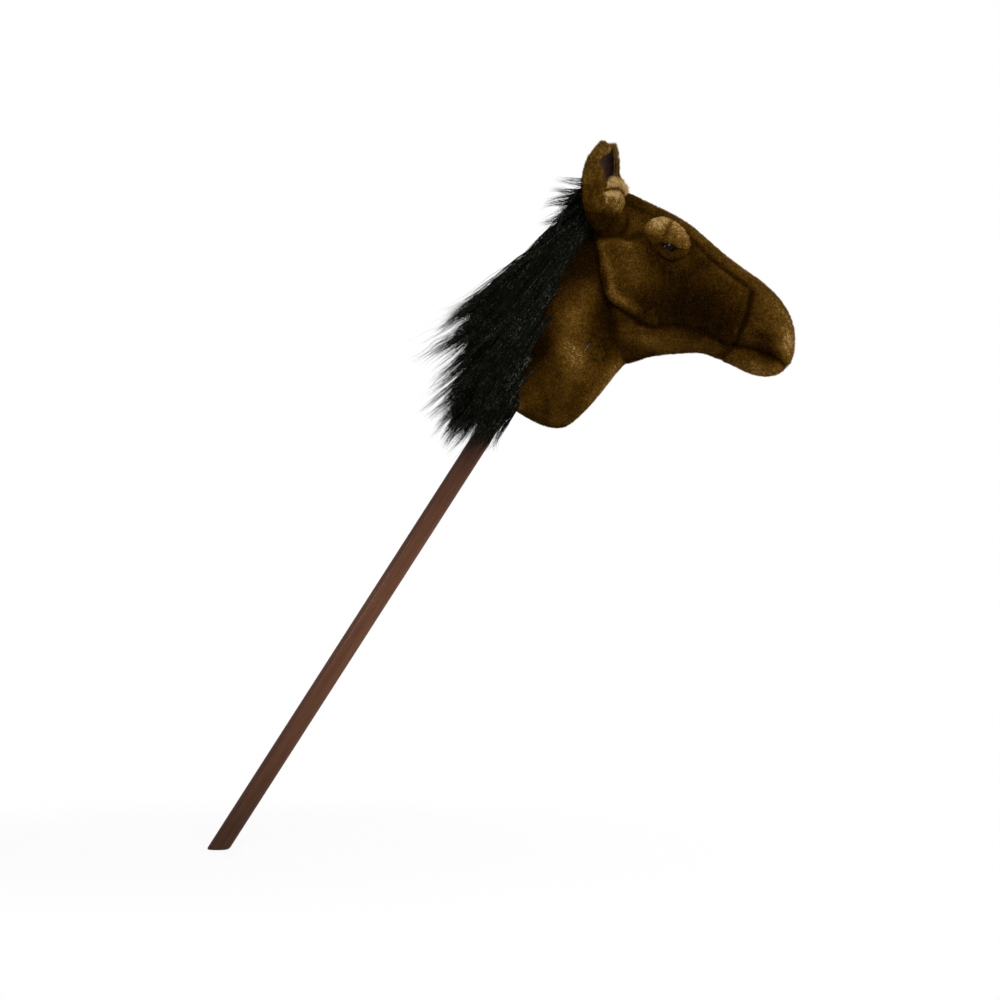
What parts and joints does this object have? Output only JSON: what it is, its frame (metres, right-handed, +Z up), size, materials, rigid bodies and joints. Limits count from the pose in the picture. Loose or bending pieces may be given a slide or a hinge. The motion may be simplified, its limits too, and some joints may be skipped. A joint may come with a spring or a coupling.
{
  "type": "hobby horse",
  "caption": "Plush horse's head and neck with cupped ears and a long black mane on a varnished round wooden pole, with a press-to-sound unit in the neck.",
  "frame": {"origin": "middle of the pole's foot, whose flat face lies on the ground at the riding slant", "axes": "+X the way the horse looks, +Y its left side, +Z up"},
  "size_m": [0.7324, 0.1404, 0.8841],
  "materials": {
    "varnished_wood": "red-brown gloss varnish",
    "black_plastic": "moulded",
    "zinc_steel": "zinc plated",
    "brown_plush": "short plush pile, dark golden brown",
    "gold_plush": "short plush pile, golden brown",
    "tan_plush": "short plush pile, tan",
    "ear_satin": "satin, dark mauve brown",
    "base_cloth": "woven cloth, cream",
    "eye_gloss": "black, polished",
    "washer_plastic": "moulded, white",
    "wadding": "loose polyester fibre",
    "mane_cloth": "woven tape, black",
    "mane_hair": "long synthetic hair, black with a soft sheen",
    "case_plastic": "moulded, white",
    "button_plastic": "moulded, red",
    "dome_rubber": "silicone rubber",
    "circuit_board": "green lacquer",
    "cell_steel": "polished steel can",
    "speaker_metal": "black"
  },
  "bodies": {
    "horse": {"pole": "varnished_wood", "pole_cap": "black_plastic", "cap_screw": "zinc_steel", "pole_collar": "black_plastic", "collar_screw_left": "zinc_steel", "collar_screw_right": "zinc_steel", "neck_base_panel": "base_cloth", "neck_cover_left": "gold_plush", "neck_cover_right": "gold_plush", "neck_stuffing": "wadding", "forehead_strip": "brown_plush", "face_left": "brown_plush", "face_right": "brown_plush", "cheek_left": "gold_plush", "cheek_right": "gold_plush", "jaw_strip": "gold_plush", "muzzle": "gold_plush", "chin": "tan_plush", "head_stuffing": "wadding", "ear_left": "tan_plush", "ear_right": "tan_plush", "ear_lining_left": "ear_satin", "ear_lining_right": "ear_satin", "eye_left": "eye_gloss", "eye_right": "eye_gloss", "eye_washer_left": "washer_plastic", "eye_washer_right": "washer_plastic", "upper_lid_left": "tan_plush", "upper_lid_right": "tan_plush", "lower_lid_left": "brown_plush", "lower_lid_right": "brown_plush", "mane_backing": "mane_cloth", "mane": "mane_hair", "sound_case_base": "case_plastic", "sound_case_lid": "case_plastic", "switch_dome": "dome_rubber", "sound_board": "circuit_board", "button_cell_1": "cell_steel", "button_cell_2": "cell_steel", "button_cell_3": "cell_steel", "speaker": "speaker_metal"},
    "sound_button": {"sound_button": "button_plastic"}
  },
  "joints": [
    {"name": "button_press", "type": "slide", "parent": "horse", "child": "sound_button", "axis": [-0.4208, 0.866, 0.2701], "range_m": [0, 0.002], "stiffness_N_per_m": 400, "deforming": ["switch_dome"]}
  ]
}
